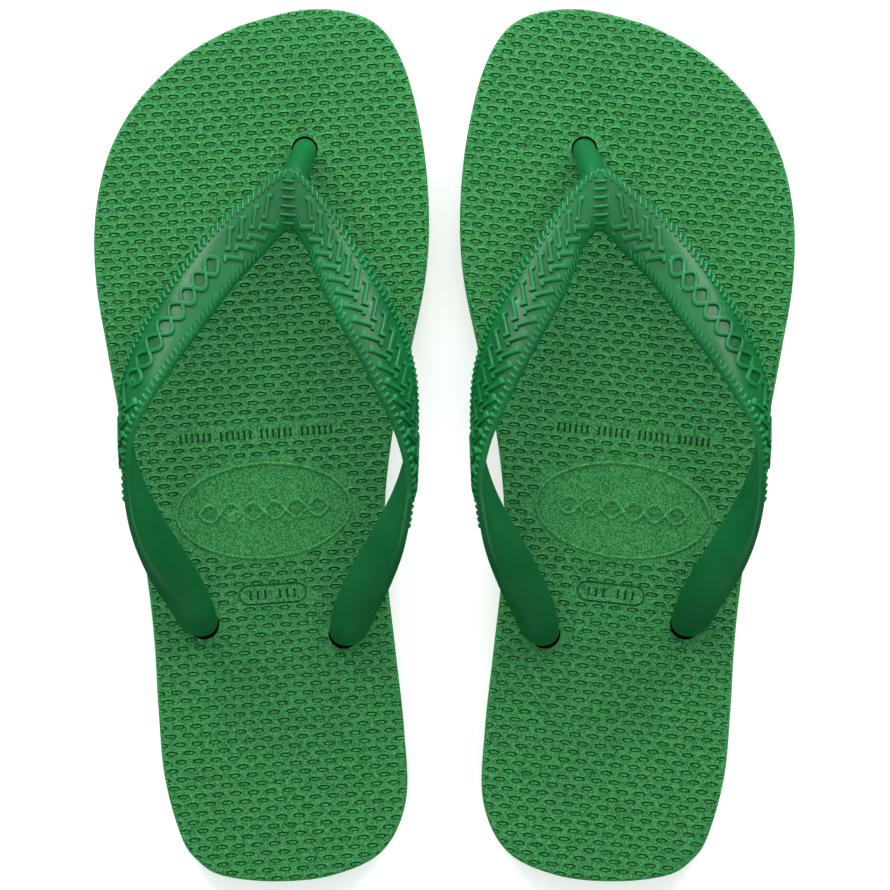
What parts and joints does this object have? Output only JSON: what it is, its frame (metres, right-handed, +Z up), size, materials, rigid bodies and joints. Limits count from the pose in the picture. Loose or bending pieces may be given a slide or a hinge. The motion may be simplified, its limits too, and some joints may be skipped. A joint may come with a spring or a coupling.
{
  "type": "pair of flip flops",
  "caption": "Pair of flat rubber flip flops: layered sole, textured footbed and a moulded Y-shaped thong strap held by three plugs.",
  "frame": {"origin": "middle of the pair on the ground, halfway along the soles", "axes": "+Y towards the toes, +X towards the right sandal, +Z up from the ground"},
  "size_m": [0.2104, 0.262, 0.0591],
  "materials": {
    "footbed_rubber": "matte foamed rubber with a moulded grain",
    "outsole_rubber": "matte foamed rubber",
    "strap_rubber": "smooth satin moulded rubber"
  },
  "bodies": {
    "left_sandal": {"left_footbed_rear": "footbed_rubber", "left_outsole_rear": "outsole_rubber", "left_strap": "strap_rubber"},
    "left_toe_part": {"left_footbed_front": "footbed_rubber", "left_outsole_front": "outsole_rubber"},
    "right_sandal": {"right_footbed_rear": "footbed_rubber", "right_outsole_rear": "outsole_rubber", "right_strap": "strap_rubber"},
    "right_toe_part": {"right_footbed_front": "footbed_rubber", "right_outsole_front": "outsole_rubber"}
  },
  "joints": [
    {"name": "left_sole_flex", "type": "hinge", "parent": "left_sandal", "child": "left_toe_part", "pos_m": [-0.055, 0.058, 0.015], "axis": [1, 0, 0], "range_deg": [0, 45], "stiffness_Nm_per_rad": 1.5, "deforming": ["left_strap"]},
    {"name": "right_lift", "type": "slide", "parent": "left_sandal", "child": "right_sandal", "axis": [0, 0, 1], "range_m": [0, 0.12]},
    {"name": "right_sole_flex", "type": "hinge", "parent": "right_sandal", "child": "right_toe_part", "pos_m": [0.055, 0.058, 0.015], "axis": [1, 0, 0], "range_deg": [0, 45], "stiffness_Nm_per_rad": 1.5, "deforming": ["right_strap"]}
  ]
}
